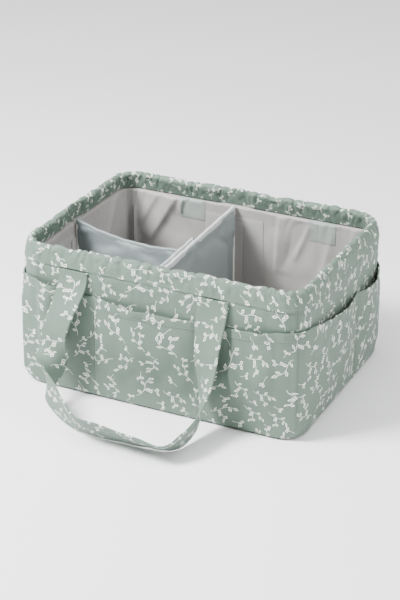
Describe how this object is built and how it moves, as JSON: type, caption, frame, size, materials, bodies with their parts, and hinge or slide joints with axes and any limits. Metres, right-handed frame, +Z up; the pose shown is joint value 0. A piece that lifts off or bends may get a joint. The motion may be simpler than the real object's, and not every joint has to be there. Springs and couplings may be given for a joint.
{
  "type": "foldable baby organizer",
  "caption": "Soft rectangular fabric organizer with gathered elastic rim, outside pockets, cloth handles and padded dividers that lift out.",
  "frame": {"origin": "middle of the underside of the base, on the surface that it stands on", "axes": "+X along the basket's length towards the large compartment, +Y towards the back wall, +Z up"},
  "size_m": [0.3796, 0.488, 0.181],
  "materials": {
    "printed_cloth": "matte cotton blend with a small white print",
    "lining_satin": "light grey satin",
    "divider_satin": "blue-grey satin",
    "patch_satin": "pale satin",
    "foam": "soft white foam",
    "board": "stiff fibre board",
    "fastener": "hook and loop tape",
    "elastic": "white elastic band"
  },
  "bodies": {
    "basket": {"front_panel": "printed_cloth", "front_lining": "lining_satin", "front_foam": "foam", "front_pocket": "printed_cloth", "rim_casing_front": "printed_cloth", "right_panel": "printed_cloth", "right_lining": "lining_satin", "right_foam": "foam", "right_pocket": "printed_cloth", "rim_casing_right": "printed_cloth", "back_panel": "printed_cloth", "back_lining": "lining_satin", "back_foam": "foam", "back_pocket": "printed_cloth", "rim_casing_back": "printed_cloth", "left_panel": "printed_cloth", "left_lining": "lining_satin", "left_foam": "foam", "left_pocket": "printed_cloth", "rim_casing_left": "printed_cloth", "base_panel": "printed_cloth", "base_board": "board", "base_lining": "lining_satin", "rim_elastic": "elastic", "front_patch_1": "patch_satin", "front_patch_2": "patch_satin", "back_patch_1": "patch_satin", "back_patch_2": "patch_satin", "front_loop_strip": "fastener", "back_loop_strip": "fastener", "left_loop_strip": "fastener"},
    "front_handle": {"front_handle": "printed_cloth"},
    "back_handle": {"back_handle": "printed_cloth"},
    "cross_divider": {"cross_divider_cover": "divider_satin", "cross_divider_foam": "foam", "cross_divider_front_hook": "fastener", "cross_divider_back_hook": "fastener"},
    "long_divider": {"long_divider_cover": "divider_satin", "long_divider_foam": "foam", "long_divider_left_hook": "fastener", "long_divider_wing": "divider_satin", "long_divider_wing_hook": "fastener"}
  },
  "joints": [
    {"name": "front_handle_swing", "type": "hinge", "parent": "basket", "child": "front_handle", "pos_m": [0, -0.13323, 0.157], "axis": [-1, 0, 0], "range_deg": [0, 140]},
    {"name": "back_handle_swing", "type": "hinge", "parent": "basket", "child": "back_handle", "pos_m": [0, 0.13323, 0.157], "axis": [1, 0, 0], "range_deg": [0, 140]},
    {"name": "cross_divider_lift", "type": "slide", "parent": "basket", "child": "cross_divider", "axis": [0, 0, 1], "range_m": [0, 0.19]},
    {"name": "long_divider_lift", "type": "slide", "parent": "basket", "child": "long_divider", "axis": [0, 0, 1], "range_m": [0, 0.19]}
  ]
}
